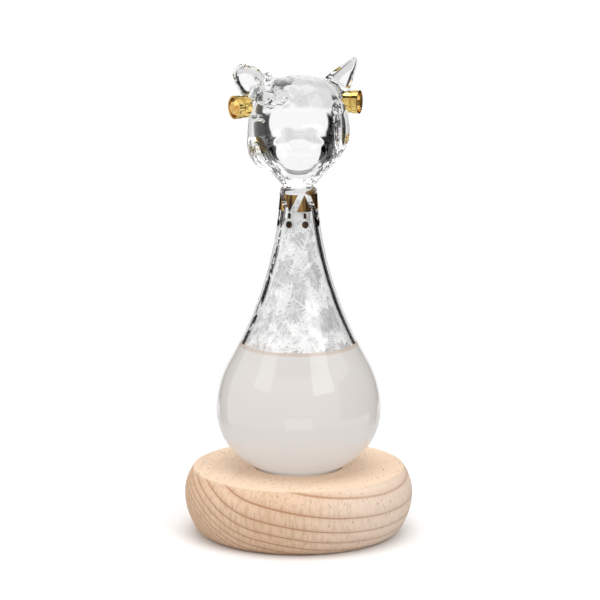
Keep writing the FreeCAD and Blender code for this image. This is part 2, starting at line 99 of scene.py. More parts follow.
# ---------------------------------------------------------------------------------------
# Mesh helpers
# ---------------------------------------------------------------------------------------
def mesh_piece(name, points, faces, body="glass", material=None, smooth=True):
    """New piece from points in millimetres, riding on a CAD body."""
    mesh = bpy.data.meshes.new(name)
    mesh.from_pydata([tuple(c * MM for c in point) for point in points], [], faces)
    mesh.update()
    if smooth:
        mesh.polygons.foreach_set("use_smooth", [True] * len(mesh.polygons))
    piece = bpy.data.objects.new(name, mesh)
    bpy.context.scene.collection.objects.link(piece)
    if material:
        mesh.materials.append(material)
    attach(piece, body)
    return piece


def lathe(outline, segments=160):
    """Closed solid of revolution from (radius, height) points that start and end on the axis."""
    points = []
    rings = []
    for radius, height in outline:
        if radius < 1e-6:
            rings.append([len(points)])
            points.append((0.0, 0.0, height))
            continue
        rings.append(list(range(len(points), len(points) + segments)))
        for step in range(segments):
            angle = 2 * math.pi * step / segments
            points.append((radius * math.cos(angle), radius * math.sin(angle), height))
    faces = []
    for lower, upper in zip(rings, rings[1:]):
        for step in range(segments):
            after = (step + 1) % segments
            if len(lower) == 1:
                faces.append((lower[0], upper[after], upper[step]))
            elif len(upper) == 1:
                faces.append((lower[step], lower[after], upper[0]))
            else:
                faces.append((lower[step], lower[after], upper[after], upper[step]))
    return points, faces


def arc_points(centre_x, centre_z, radius, start, finish, count):
    """Points along an arc; angles in radians from +x towards +z."""
    out = []
    for step in range(count + 1):
        angle = start + (finish - start) * step / count
        out.append((centre_x + radius * math.cos(angle), centre_z + radius * math.sin(angle)))
    return out


def drop_side(inset, low, high):
    """Side of the drop, a given inset inside the outer glass, from one height to another."""
    bottom = BOTTOM_ARC - inset
    neck = NECK_ARC + inset
    tangent = -math.acos(UNDER_CENTRE / (BOTTOM_ARC - UNDER_ARC))
    begin = -math.pi / 2 + math.acos((BOTTOM_CENTRE - low) / bottom)
    end = math.pi + math.asin((NECK_CENTRE_Z - high) / neck)
    side = arc_points(0.0, BOTTOM_CENTRE, bottom, begin, tangent, 14)
    side += arc_points(UNDER_CENTRE, BULB_HEIGHT, UNDER_ARC - inset, tangent, 0.0, 20)[1:]
    side += arc_points(SHOULDER_CENTRE, BULB_HEIGHT, SHOULDER_ARC - inset, 0.0, SHOULDER_TURN, 20)[1:]
    side += arc_points(NECK_CENTRE_X, NECK_CENTRE_Z, neck, math.pi + SHOULDER_TURN, end, 50)[1:]
    return side


def cavity_radius(height):
    """Radius of the cavity beside the neck's hollow arc."""
    return NECK_CENTRE_X - math.sqrt((NECK_ARC + WALL) ** 2 - (height - NECK_CENTRE_Z) ** 2)


# ---------------------------------------------------------------------------------------
# Head shape: a distance-like field, negative inside the glass
# ---------------------------------------------------------------------------------------
def smooth_curve(knots, values):
    """Natural cubic spline through the knots, as a function of an array."""
    x = np.array(knots, float)
    y = np.array(values, float)
    gap = np.diff(x)
    count = len(x)
    matrix = np.eye(count)
    right = np.zeros(count)
    for i in range(1, count - 1):
        matrix[i, i - 1:i + 2] = gap[i - 1], 2 * (gap[i - 1] + gap[i]), gap[i]
        right[i] = 6 * ((y[i + 1] - y[i]) / gap[i] - (y[i] - y[i - 1]) / gap[i - 1])
    bend = np.linalg.solve(matrix, right)

    def curve(at):
        at = np.clip(at, x[0], x[-1])
        i = np.clip(np.searchsorted(x, at) - 1, 0, count - 2)
        h = gap[i]
        a = (x[i + 1] - at) / h
        b = (at - x[i]) / h
        cubic = ((a ** 3 - a) * bend[i] + (b ** 3 - b) * bend[i + 1]) * h * h / 6
        return a * y[i] + b * y[i + 1] + cubic

    return curve


def blend_union(a, b, reach):
    h = np.maximum(reach - np.abs(a - b), 0) / reach
    return np.minimum(a, b) - h * h * reach / 4


def blend_cut(a, b, reach):
    return -blend_union(-a, b, reach)


def ellipsoid(p, centre, radii):
    q = (p - np.array(centre)) / np.array(radii)
    length = np.sqrt((q ** 2).sum(-1)) + 1e-9
    slope = np.sqrt(((q / np.array(radii)) ** 2).sum(-1)) + 1e-9
    return length * (length - 1) / slope


def tapered(across, along_y, half_width, half_depth):
    """Field of a bar with an elliptical section."""
    half_width = np.maximum(half_width, 0.05)
    half_depth = np.maximum(half_depth, 0.05)
    ratio = np.sqrt((across / half_width) ** 2 + (along_y / half_depth) ** 2)
    return (ratio - 1) * np.minimum(half_width, half_depth)


CROWN = 168.4
HEAD_ROOT = 121.0

# height, half width, half depth, centre towards the back
SKULL = [
    (118.0, 3.0, 3.0, 0.0),
    (124.0, 5.0, 5.0, 0.0),
    (129.0, 6.3, 6.3, 0.0),
    (132.6, 9.2, 8.6, -0.2),
    (136.0, 12.4, 10.9, -0.5),
    (139.5, 15.2, 12.7, -0.7),
    (143.5, 17.6, 14.0, -0.6),
    (148.5, 18.4, 14.8, -0.2),
    (154.5, 17.9, 14.9, 0.4),
    (160.5, 16.4, 13.9, 0.8),
    (165.0, 12.8, 11.0, 1.0),
    (CROWN, 0.0, 0.0, 1.0),
]
skull_z = [row[0] for row in SKULL]
skull_width = smooth_curve(skull_z, [row[1] ** 2 for row in SKULL])
skull_depth = smooth_curve(skull_z, [row[2] ** 2 for row in SKULL])
skull_back = smooth_curve(skull_z, [row[3] for row in SKULL])


def ear_field(p, side, spread, root_height, root_width, length, lean, drift, shares):
    """Flat leaning ear with a shallow hollow in front, as in the CAD ears."""
    lean = math.radians(lean)
    x = side * p[..., 0] - spread
    z = p[..., 2] - root_height
    up = x * math.sin(lean) + z * math.cos(lean)
    out = x * math.cos(lean) - z * math.sin(lean) + drift * up
    places = [share[0] * length for share in shares]
    share = smooth_curve(places, [share[1] ** 2 for share in shares])
    size = np.sqrt(np.maximum(share(up), 0))
    ear = tapered(out, p[..., 1] - 0.6, root_width / 2 * size, 5.2 * size)
    ear = np.maximum(ear, np.maximum(up - length, -0.45 * length - up))
    hollow = np.stack([out, p[..., 1], up], -1)
    scoop = ellipsoid(hollow, (0.3, -5.2, length * 0.5), (root_width * 0.26, 3.4, length * 0.36))
    return blend_cut(ear, scoop, 1.6)


BLUNT = [(-0.5, 1.0), (0.0, 1.0), (0.35, 0.93), (0.62, 0.80), (0.85, 0.58), (0.96, 0.34), (1.0, 0.0)]
POINTED = [(-0.5, 1.0), (0.0, 1.0), (0.36, 0.83), (0.61, 0.585), (0.82, 0.355), (0.96, 0.16), (1.0, 0.0)]


# Drops of glass laid on the left temple and the right cheek: centre, half sizes, blend.
PADS = [
    ((-9.2, -11.2, 161.6), (6.6, 3.6, 3.2), 0.5),
    ((14.6, -9.0, 149.8), (2.3, 3.4, 7.2), 0.5),
    ((14.2, -8.6, 157.8), (2.6, 3.2, 2.6), 0.7),
]
# Folds left by the lampworker beside the cheeks.
CREASES = [
    ((-15.6, -9.0, 154.2), (3.4, 3.8, 1.2)),
]


def folds(p):
    """Swirls across the left of the crown, and flutes drawn down to the chin."""
    x, y, z = p[..., 0], p[..., 1], p[..., 2]
    swirl = np.sin(0.95 * x + 0.75 * z + 1.1 * np.sin(0.5 * y)) + 0.7 * np.sin(1.25 * x - 1.05 * z + 0.5 * y)
    left = soft_step(0.5 - x, 1.2) * soft_step(x + 13.5, 1.0)
    crown = soft_step(z - 161.0, 0.8)
    angle = np.arctan2(y, x)
    flute = np.sin(26 * angle + 1.6 * np.sin(5 * angle) + 0.25 * z)
    jaw = soft_step(z - 131.0, 0.6) * soft_step(143.0 - z, 1.4)
    return 0.60 * swirl * left * crown + 0.05 * flute * jaw


def soft_step(distance, width):
    """0 well below zero, 1 well above it."""
    return 1 / (1 + np.exp(-distance / width))


def head_field(p):
    z = p[..., 2]
    width = np.sqrt(np.maximum(skull_width(z), 0))
    depth = np.sqrt(np.maximum(skull_depth(z), 0))
    field = tapered(p[..., 0], p[..., 1] - skull_back(z), width, depth)
    field = np.maximum(field, z - CROWN)
    field = blend_union(field, ellipsoid(p, (0, -11.5, 144.0), (9.5, 7.0, 6.2)), 4.0)
    for side in (-1, 1):
        field = blend_union(field, ellipsoid(p, (side * 4.0, -15.0, 142.6), (4.8, 3.6, 3.8)), 3.0)
        field = blend_cut(field, ellipsoid(p, (side * 7.6, -16.8, 154.0), (4.6, 3.2, 2.8)), 3.0)
    field = blend_union(field, ellipsoid(p, (0, -17.6, 147.2), (2.3, 2.0, 1.7)), 1.4)
    field = blend_union(field, ellipsoid(p, (0, -12.0, 138.6), (4.6, 4.4, 3.2)), 3.0)
    field = blend_union(field, ellipsoid(p, (-11.0, -1.5, 142.0), (7.0, 8.6, 7.2)), 3.0)
    for centre, radii, reach in PADS:
        field = blend_union(field, ellipsoid(p, centre, radii), reach)
    for centre, radii in CREASES:
        field = blend_cut(field, ellipsoid(p, centre, radii), 1.1)
    field = blend_union(field, ear_field(p, -1, 12.3, 161.4, 12.6, 14.2, 45.5, 0.0, BLUNT), 3.0)
    field = blend_union(field, ear_field(p, 1, 10.0, 158.7, 12.8, 19.2, 41.0, 0.13, POINTED), 3.0)
    return np.maximum(field + folds(p), HEAD_ROOT - z)


def surface_of(field, low, high, step):
    """Quads round the zero surface of a field, one vertex in each crossed cell."""
    axes = [np.arange(a, b + step, step) for a, b in zip(low, high)]
    grid = np.stack(np.meshgrid(*axes, indexing="ij"), -1)
    value = field(grid)
    shape = [n - 1 for n in value.shape]
    offsets = [(i, j, k) for i in (0, 1) for j in (0, 1) for k in (0, 1)]

    def corner(offset):
        return tuple(slice(o, o + n) for o, n in zip(offset, shape))

    total = np.zeros(shape + [3])
    count = np.zeros(shape)
    for start in offsets:
        for axis in range(3):
            if start[axis]:
                continue
            finish = tuple(o + (1 if n == axis else 0) for n, o in enumerate(start))
            a = value[corner(start)]
            b = value[corner(finish)]
            crossed = (a < 0) != (b < 0)
            share = np.where(crossed, a / np.where(crossed, a - b, 1), 0)[..., None]
            point = grid[corner(start)] * (1 - share) + grid[corner(finish)] * share
            total += point * crossed[..., None]
            count += crossed
    used = count > 0
    index = np.full(shape, -1)
    index[used] = np.arange(used.sum())
    points = total[used] / count[used][:, None]
    faces = []
    for axis in range(3):
        b_axis, c_axis = (axis + 1) % 3, (axis + 2) % 3
        here = [slice(1, n) for n in shape]
        here[axis] = slice(0, shape[axis])
        there = list(here)
        there[axis] = slice(1, shape[axis] + 1)
        a = value[tuple(here)]
        b = value[tuple(there)]
        for inside_first in (True, False):
            hit = np.argwhere((a < 0) & (b >= 0) if inside_first else (a >= 0) & (b < 0))
            hit = hit + np.array([s.start for s in here])
            quad = []
            for db, dc in ((0, 0), (1, 0), (1, 1), (0, 1)):
                cell = hit.copy()
                cell[:, b_axis] -= 1 - db
                cell[:, c_axis] -= 1 - dc
                quad.append(index[tuple(cell.T)])
            quad = np.stack(quad, -1)
            faces.append(quad if inside_first else quad[:, ::-1])
    faces = np.concatenate(faces)
    for _ in range(4):
        points = relaxed(points, faces, 2, 0.5)
        for _ in range(2):
            points = pulled_onto(field, points, 0.5 * step)
    return points, faces


def pulled_onto(field, points, longest):
    """Points moved along the slope of the field until they lie on its zero surface."""
    slope = np.zeros_like(points)
    for axis in range(3):
        nudge = np.zeros(3)
        nudge[axis] = 0.05
        slope[:, axis] = (field(points + nudge) - field(points - nudge)) / 0.1
    size = np.maximum((slope ** 2).sum(-1), 0.05)
    move = -field(points)[:, None] * slope / size[:, None]
    return points + np.clip(move, -longest, longest)


def relaxed(points, faces, rounds, share):
    """Evens out the spacing of a quad mesh by moving each point towards its neighbours."""
    edges = np.concatenate([faces[:, [0, 1]], faces[:, [1, 2]], faces[:, [2, 3]], faces[:, [3, 0]]])
    for _ in range(rounds):
        total = np.zeros_like(points)
        count = np.zeros(len(points))
        for a, b in ((0, 1), (1, 0)):
            np.add.at(total, edges[:, a], points[edges[:, b]])
            np.add.at(count, edges[:, a], 1)
        points = points + share * (total / count[:, None] - points)
    return points


# ---------------------------------------------------------------------------------------
# Material helpers
# ---------------------------------------------------------------------------------------
class Shader:
    """Node material whose nodes are added with short calls."""

    def __init__(self, name):
        self.material = bpy.data.materials.new(name)
        self.material.use_nodes = True
        self.tree = self.material.node_tree
        self.surface = self.tree.nodes["Principled BSDF"]
        self.output = self.tree.nodes["Material Output"]

    def add(self, kind, inputs=None, **settings):
        node = self.tree.nodes.new(kind)
        for key, value in settings.items():
            setattr(node, key, value)
        for key, value in (inputs or {}).items():
            self.set(node.inputs[key], value)
        return node

    def set(self, socket, value):
        if isinstance(value, bpy.types.NodeSocket):
            self.tree.links.new(value, socket)
        elif isinstance(value, bpy.types.Node):
            self.tree.links.new(value.outputs[0], socket)
        else:
            socket.default_value = value

    def coat(self, **inputs):
        for key, value in inputs.items():
            self.set(self.surface.inputs[key.replace("_", " ")], value)

    def math(self, operation, a, b=0.0, c=0.0):
        return self.add("ShaderNodeMath", {0: a, 1: b, 2: c}, operation=operation)

    def where(self):
        return self.add("ShaderNodeTexCoord").outputs["Object"]

    def noise(self, scale, detail=3.0, vector=None, distortion=0.0):
        inputs = {"Scale": scale, "Detail": detail, "Distortion": distortion}
        inputs["Vector"] = vector or self.where()
        return self.add("ShaderNodeTexNoise", inputs)

    def scaled(self, x, y, z, vector=None):
        return self.add(
            "ShaderNodeMapping",
            {"Vector": vector or self.where(), "Scale": (x, y, z)},
        )

    def ramp(self, factor, *stops):
        """Colour ramp; a stop is (place, red, green, blue)."""
        node = self.add("ShaderNodeValToRGB", {"Fac": factor})
        elements = node.color_ramp.elements
        while len(elements) < len(stops):
            elements.new(0.5)
        for element, stop in zip(elements, stops):
            element.position = stop[0]
            element.color = (*stop[1:4], 1.0)
        return node

    def mix(self, factor, a, b, mode="MIX"):
        node = self.add("ShaderNodeMix", data_type="RGBA", blend_type=mode)
        for name, value in (("Factor_Float", factor), ("A_Color", a), ("B_Color", b)):
            socket = next(s for s in node.inputs if s.identifier == name)
            self.set(socket, value)
        return next(s for s in node.outputs if s.identifier == "Result_Color")

    def bump(self, height, strength, distance):
        node = self.add("ShaderNodeBump", {"Height": height, "Strength": strength, "Distance": distance})
        self.set(self.surface.inputs["Normal"], node)


def smooth_range(shader, value, low, high):
    return shader.add(
        "ShaderNodeMapRange",
        {"Value": value, "From Min": low, "From Max": high},
        interpolation_type="SMOOTHSTEP",
    )


# ---------------------------------------------------------------------------------------
# Materials
# ---------------------------------------------------------------------------------------
def make_glass():
    """Clear hand-worked glass: even on the face, streaky under the chin."""
    shader = Shader("clear_glass")
    where = shader.where()
    ripple = shader.noise(90.0, 2.0, where)
    tint = shader.mix(ripple.outputs["Fac"], (0.994, 0.997, 0.997, 1), (1, 1, 1, 1))
    height = shader.add("ShaderNodeSeparateXYZ", {0: where}).outputs["Z"]
    chin = shader.math(
        "MULTIPLY",
        smooth_range(shader, height, 0.1285, 0.1325),
        smooth_range(shader, height, 0.1465, 0.1385),
    )
    streak = shader.noise(1.0, 2.0, shader.scaled(560.0, 560.0, 30.0, where))
    relief = shader.math("MULTIPLY", ripple, 0.10)
    relief = shader.math("MULTIPLY_ADD", shader.math("MULTIPLY", streak, chin), 0.6, relief)
    shader.coat(Base_Color=tint, Roughness=0.0, IOR=1.47, Transmission_Weight=1.0)
    shader.bump(relief, 1.0, 0.0002)
    return shader.material


def make_liquid():
    """Milky solution with a painted glow from emission, painted warmer towards the foot as warm light from
    the wooden base, and a thin brownish line where it meets the glass.
    """
    shader = Shader("camphor_solution")
    where = shader.where()
    cloud = shader.noise(55.0, 4.0, where, 0.6)
    height = shader.add("ShaderNodeSeparateXYZ", {0: where}).outputs["Z"]
    # Painted warm light: the colour turns warmer towards the foot, for warm light from the wooden base.
    low = smooth_range(shader, height, FOOT * MM, FILL * MM)
    body = shader.ramp(low, (0.0, 0.975, 0.91, 0.865), (0.5, 0.97, 0.92, 0.885), (1.0, 0.97, 0.925, 0.89))
    tint = shader.mix(shader.math("MULTIPLY", cloud, 0.3), body, (0.975, 0.945, 0.92, 1))
    rim = smooth_range(shader, height, (FILL - 0.1) * MM, (FILL + 1.1) * MM)
    line = shader.ramp(
        rim,
        (0.0, 0.0, 0.0, 0.0),
        (0.25, 0.9, 0.9, 0.9),
        (0.5, 0.1, 0.1, 0.1),
        (0.75, 0.9, 0.9, 0.9),
        (1.0, 0.5, 0.5, 0.5),
    )
    tint = shader.mix(line, tint, (0.80, 0.62, 0.48, 1))
    # Painted glow: the base colour is dimmed and the emission lights the liquid evenly, standing in for
    # light scattered through the milky solution.
    dimmed_under_painted_glow = shader.mix(0.60, tint, (0.0, 0.0, 0.0, 1))
    shader.coat(Base_Color=dimmed_under_painted_glow, Roughness=0.4, IOR=1.36, Emission_Color=tint, Emission_Strength=0.47)
    return shader.material


def make_crystal():
    """White frosted camphor with a faint painted glow from emission."""
    shader = Shader("camphor_crystal")
    grain = shader.noise(420.0, 3.0)
    tint = shader.ramp(grain, (0.35, 0.90, 0.905, 0.91), (0.55, 1.0, 0.995, 0.99))
    # Painted glow: the emission makes the crystals shine though they are no lamp.
    shader.coat(Base_Color=tint, Roughness=0.3, IOR=1.45, Emission_Color=tint, Emission_Strength=0.18)
    return shader.material


def make_frost():
    """Packed fine crystals: white, painted darker along a feathery pattern as shade between the strands,
    with a matching bump and a painted glow from emission.
    """
    shader = Shader("camphor_frost")
    where = shader.where()
    vein = shader.noise(300.0, 4.0, where, 2.2)
    needle = shader.noise(1.0, 3.0, shader.scaled(500.0, 500.0, 150.0, where))
    relief_and_painted_shade = shader.math("MULTIPLY", vein, needle)
    # Painted shade: the colour darkens along the feathery pattern for shade between the strands; the
    # emission is a painted glow.
    tint = shader.ramp(relief_and_painted_shade, (0.18, 0.56, 0.565, 0.57), (0.34, 0.80, 0.80, 0.795))
    shader.coat(Base_Color=tint, Roughness=0.6, Emission_Color=tint, Emission_Strength=0.18)
    shader.bump(relief_and_painted_shade, 1.0, 0.00015)
    return shader.material


def make_gold(name, dark, bright, rough, across, upright):
    """Gold with lighter and darker patches, the lighter ones painted glints on the collar print; across and
    upright set how fast they change sideways and in height.
    """
    shader = Shader(name)
    patches_and_glints = shader.noise(1.0, 3.0, shader.scaled(across, across, upright))
    tint = shader.ramp(patches_and_glints, (0.40, *dark), (0.62, *bright))
    shader.coat(
        Base_Color=tint,
        Metallic=1.0,
        Roughness=shader.math("MULTIPLY_ADD", patches_and_glints, 0.15, rough),
    )
    return shader.material


def make_amber():
    shader = Shader("amber_stone")
    swirl = shader.noise(500.0, 3.0, distortion=1.5)
    tint = shader.ramp(swirl, (0.35, 0.62, 0.26, 0.03), (0.65, 1.0, 0.72, 0.24))
    shader.coat(Base_Color=tint, Metallic=0.8, Roughness=0.05, IOR=1.62)
    return shader.material


def make_wood():
    """Pale wood whose growth layers dip to the right and crowd together near the foot, painted paler on the
    right and on top as painted light, with a painted highlight on the rim.
    """
    shader = Shader("wood")
    where = shader.where()
    wobble = shader.noise(14.0, 3.0, where)
    parts = shader.add("ShaderNodeSeparateXYZ", {0: where})
    x = shader.math("DIVIDE", parts.outputs["X"], MM)
    y = shader.math("DIVIDE", parts.outputs["Y"], MM)
    z = shader.math("DIVIDE", parts.outputs["Z"], MM)
    # Height above a layer: a steady dip in x and y, and a curl up at the left.
    dip = shader.math("MULTIPLY_ADD", x, 0.15, z)
    dip = shader.math("MULTIPLY_ADD", y, -0.12, dip)
    left = shader.math("MAXIMUM", shader.math("SUBTRACT", shader.math("MULTIPLY", x, -1.0), 16.0), 0.0)
    curl = shader.math("MULTIPLY", shader.math("POWER", left, 2.0), -0.0173)
    layer = shader.math("ADD", dip, curl)
    layer = shader.math("MULTIPLY_ADD", shader.math("SUBTRACT", wobble, 0.5), 2.2, layer)
    depth = shader.math("SUBTRACT", 28.5, layer)
    crowd = shader.math("MULTIPLY", shader.math("POWER", shader.math("DIVIDE", depth, 30.0), 3.0), 3.7)
    ring = shader.math("FRACT", shader.math("ADD", shader.math("DIVIDE", depth, 7.0), crowd))
    late = shader.ramp(
        ring,
        (0.0, 0.9, 0.9, 0.9),
        (0.05, 0.16, 0.16, 0.16),
        (0.30, 0.0, 0.0, 0.0),
        (0.70, 0.10, 0.10, 0.10),
        (0.90, 0.34, 0.34, 0.34),
        (0.965, 1.0, 1.0, 1.0),
    )
    fibre = shader.noise(1.0, 4.0, shader.scaled(900.0, 900.0, 160.0, where))
    tone = shader.noise(22.0, 3.0, where)
    pale = shader.ramp(tone, (0.3, 0.765, 0.53, 0.36), (0.7, 0.845, 0.62, 0.445))
    grainy = smooth_range(shader, fibre, 0.42, 0.66)
    pale = shader.mix(shader.math("MULTIPLY", grainy, 0.42), pale, (0.52, 0.31, 0.175, 1))
    brown = shader.mix(fibre, (0.34, 0.135, 0.05, 1), (0.50, 0.22, 0.095, 1))
    top = smooth_range(shader, z, 24.0, 24.4)
    fade = shader.math("MULTIPLY_ADD", top, -0.85, 1.0)
    # Painted light: the wood is painted paler towards the right, where the light falls, and its rings are
    # drawn fainter there.
    right = smooth_range(shader, x, -8.0, 34.0)
    strong = shader.math("MULTIPLY", fade, shader.math("MULTIPLY_ADD", right, -0.35, 0.9))
    pale = shader.mix(shader.math("MULTIPLY", right, 0.6), pale, (0.95, 0.82, 0.70, 1))
    # Painted light: the top face is painted paler to make up for the shade the bulb casts on it.
    pale = shader.mix(top, pale, (0.89, 0.67, 0.485, 1))
    tint = shader.mix(shader.math("MULTIPLY", late, strong), pale, brown)
    # Pores: short dark flecks, upright on the sides, dots on the top.
    pore = shader.noise(1.0, 2.0, shader.scaled(1500.0, 1500.0, 420.0, where))
    fleck = smooth_range(shader, pore, 0.61, 0.72)
    tint = shader.mix(shader.math("MULTIPLY", fleck, 0.5), tint, (0.36, 0.19, 0.10, 1))
    dots = shader.noise(1.0, 1.0, shader.scaled(950.0, 700.0, 10.0, where))
    dots = shader.math("MULTIPLY", smooth_range(shader, dots, 0.68, 0.73), top)
    tint = shader.mix(shader.math("MULTIPLY", dots, 0.75), tint, (0.25, 0.13, 0.07, 1))
    # Painted highlight on the rounded rim where the side turns into the top.
    squares = shader.math("ADD", shader.math("MULTIPLY", x, x), shader.math("MULTIPLY", y, y))
    radius = shader.math("SQRT", squares)
    near_rim = smooth_range(shader, radius, 37.6, 38.3)
    near_top = smooth_range(shader, z, 22.9, 24.2)
    painted_rim_highlight = shader.math("MULTIPLY", near_rim, near_top)
    tint = shader.mix(shader.math("MULTIPLY", painted_rim_highlight, 0.3), tint, (0.74, 0.56, 0.40, 1))
    shader.coat(Base_Color=tint, Roughness=0.62)
    shader.bump(shader.math("SUBTRACT", fibre, fleck), 0.15, 0.0002)
    return shader.material


def make_felt():
    shader = Shader("felt")
    fuzz = shader.noise(1800.0, 5.0)
    tint = shader.mix(fuzz.outputs["Fac"], (0.45, 0.38, 0.31, 1), (0.62, 0.55, 0.47, 1))
    shader.coat(Base_Color=tint, Roughness=1.0)
    shader.bump(fuzz, 0.6, 0.0003)
    return shader.material


def make_soft(name, low, high, rough):
    """Milky rubber or resin."""
    shader = Shader(name)
    cloud = shader.noise(300.0, 3.0)
    tint = shader.mix(cloud.outputs["Fac"], low, high)
    shader.coat(Base_Color=tint, Roughness=rough)
    return shader.material


glass = make_glass()
liquid = make_liquid()
crystal = make_crystal()
frost = make_frost()
# Collar print: dark bronze, its lighter patches painted glints.
gold_print = make_gold("gold_print", (0.05, 0.03, 0.018), (0.50, 0.29, 0.10), 0.18, 480.0, 60.0)
dark_print = make_gold("dark_print", (0.02, 0.014, 0.01), (0.11, 0.07, 0.04), 0.25, 480.0, 60.0)
gold_metal = make_gold("gold_metal", (0.42, 0.25, 0.06), (0.98, 0.72, 0.24), 0.02, 150.0, 150.0)
amber = make_amber()
wood = make_wood()
felt = make_felt()
silicone = make_soft("silicone", (0.78, 0.78, 0.75, 1), (0.88, 0.88, 0.86, 1), 0.5)
resin = make_soft("clear_resin", (0.84, 0.84, 0.80, 1), (0.93, 0.93, 0.90, 1), 0.1)


# ---------------------------------------------------------------------------------------
# Glass: drop with its cavity, and the head joined on
# ---------------------------------------------------------------------------------------
def drop_outline():
    """From the cavity's dome down the inside, out through the filling hole, and up the outside."""
    inside = drop_side(WALL, FLOOR, DOME_START)
    dome = cavity_radius(DOME_START)
    outline = arc_points(0.0, DOME_START, dome, math.pi / 2, 0.0, 12)[:-1]
    outline[0] = (0.0, outline[0][1])
    outline += inside[::-1]
    outline += [(FILLER_RADIUS, FLOOR), (FILLER_RADIUS, seal_high.z)]
    outline += [(SEAL_RADIUS, seal_high.z), (SEAL_RADIUS, FOOT)]
    outline += drop_side(0.0, FOOT, NECK_TOP)
    neck = outline[-1][0]
    outline += [(neck * 0.99, NECK_TOP + 0.7), (neck * 0.93, NECK_TOP + 1.3), (neck * 0.8, NECK_TOP + 1.7)]
    outline += [(0.0, NECK_TOP + 1.8)]
    return outline


def build_glass():
    points, faces = lathe(drop_outline()[::-1], 192)
    drop = mesh_piece("blown_glass", points, faces, "glass", glass)
    step = 0.45
    points, faces = surface_of(head_field, (-27, -25, 120), (27, 19, 179), step)
    head = mesh_piece("head_for_union", points.tolist(), faces.tolist(), "glass", glass)
    union = drop.modifiers.new("join", "BOOLEAN")
    union.operation = "UNION"
    union.solver = "EXACT"
    union.object = head
    evaluated = drop.evaluated_get(bpy.context.evaluated_depsgraph_get())
    joined = bpy.data.meshes.new_from_object(evaluated)
    drop.modifiers.clear()
    drop.data = joined
    bpy.data.objects.remove(head)
    joined.polygons.foreach_set("use_smooth", [True] * len(joined.polygons))
    joined.materials.clear()
    joined.materials.append(glass)
    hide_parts("glass_vessel", "cat_head", "left_ear", "right_ear")
    return drop


def build_liquid():
    """Filling that reaches a little into the wall, so no film of air shows, with a meniscus."""
    reach = WALL - 0.15
    side = drop_side(reach, FLOOR - 0.15, FILL + 1.2)
    edge = side[-1][0]
    top = [
        (edge - 0.5, FILL + 0.75),
        (edge - 1.1, FILL + 0.35),
        (edge - 2.0, FILL + 0.1),
        (edge - 3.2, FILL),
        (0.0, FILL),
    ]
    points, faces = lathe([(0.0, FLOOR - 0.15)] + side + top, 160)
    piece = mesh_piece("liquid", points, faces, "glass", liquid)
    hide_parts("storm_liquid")


# ---------------------------------------------------------------------------------------
# Crystals
# ---------------------------------------------------------------------------------------
def add_strand(points, faces, path, radius):
    """Tapered three-sided needle along a path."""
    rings = []
    for index, spot in enumerate(path):
        spot = Vector(spot)
        before = Vector(path[max(index - 1, 0)])
        after = Vector(path[min(index + 1, len(path) - 1)])
        along = (after - before).normalized()
        side = along.cross(Vector((0.31, 0.17, 0.93))).normalized()
        other = along.cross(side)
        size = radius * (1 - index / (len(path) - 1)) + 0.015
        ring = []
        for corner in range(3):
            angle = 2 * math.pi * corner / 3
            ring.append(len(points))
            points.append(tuple(spot + (side * math.cos(angle) + other * math.sin(angle)) * size))
        rings.append(ring)
    for lower, upper in zip(rings, rings[1:]):
        for corner in range(3):
            after = (corner + 1) % 3
            faces.append((lower[corner], lower[after], upper[after], upper[corner]))
    faces.append(tuple(rings[0][::-1]))
    faces.append(tuple(rings[-1]))


def on_wall(angle, height, inset):
    radius = max(cavity_radius(height) - inset, 0.2)
    return (radius * math.cos(angle), radius * math.sin(angle), height)


def add_fern(points, faces, angle, height, length, heading, barbs, inset):
    """Feather lying on a cylinder inside the cavity: a stem with paired barbs."""
    spine = []
    steps = 8
    bend = rng.uniform(-0.5, 0.5)
    a, z, turn = angle, height, heading
    for _ in range(steps + 1):
        spine.append((a, z, turn))
        radius = max(cavity_radius(z) - inset, 1.5)
        a += length / steps * math.sin(turn) / radius
        z += length / steps * math.cos(turn)
        z = min(z, DOME_START + 3)
        turn += bend / steps
    add_strand(points, faces, [on_wall(a, z, inset) for a, z, _ in spine], 0.40)
    for barb in range(barbs):
        share = (barb + 0.6) / (barbs + 1)
        a, z, turn = spine[int(share * steps)]
        for side in (-1, 1):
            reach = length * 0.36 * (1 - share) * rng.uniform(0.6, 1.1) + 0.5
            way = turn + side * rng.uniform(0.7, 1.0)
            path = []
            for step in range(4):
                radius = max(cavity_radius(z) - inset, 1.5)
                path.append(on_wall(
                    a + reach * step / 3 * math.sin(way) / radius,
                    min(z + reach * step / 3 * math.cos(way), DOME_START + 4),
                    inset + 0.12 * step,
                ))
                way += 0.12 * side
            add_strand(points, faces, path, 0.30)


def build_frost():
    """Core of packed crystals, just clear of the wall, from the liquid to the dome."""
    inset = 1.5
    low = FILL - 0.6
    steps = 150
    side = []
    for step in range(steps + 1):
        height = low + (DOME_START - low) * step / steps
        side.append((cavity_radius(height) - inset, height))
    crown = arc_points(0.0, DOME_START, side[-1][0], 0.0, math.pi / 2, 10)[1:]
    crown[-1] = (0.0, crown[-1][1])
    outline = [(0.0, low)] + side + crown
    segments = 200
    points, faces = lathe(outline, segments)
    wave = [rng.uniform(0, 6.28) for _ in range(12)]
    moved = []
    for x, y, z in points:
        radius = math.hypot(x, y)
        angle = math.atan2(y, x)
        bump = 0.0
        for k in range(6):
            bump += math.sin((5 + 4 * k) * angle + wave[k] + z * (0.35 + 0.23 * k)) / (k + 2)
            bump += math.sin((3 + 5 * k) * angle + wave[k + 6] - z * (0.9 + 0.3 * k)) / (k + 2)
        grow = 1 + 0.22 * bump / max(radius, 3.0) * min(1.0, radius / 3)
        moved.append((x * grow, y * grow, z))
    piece = mesh_piece("frost", moved, faces, "glass", frost)


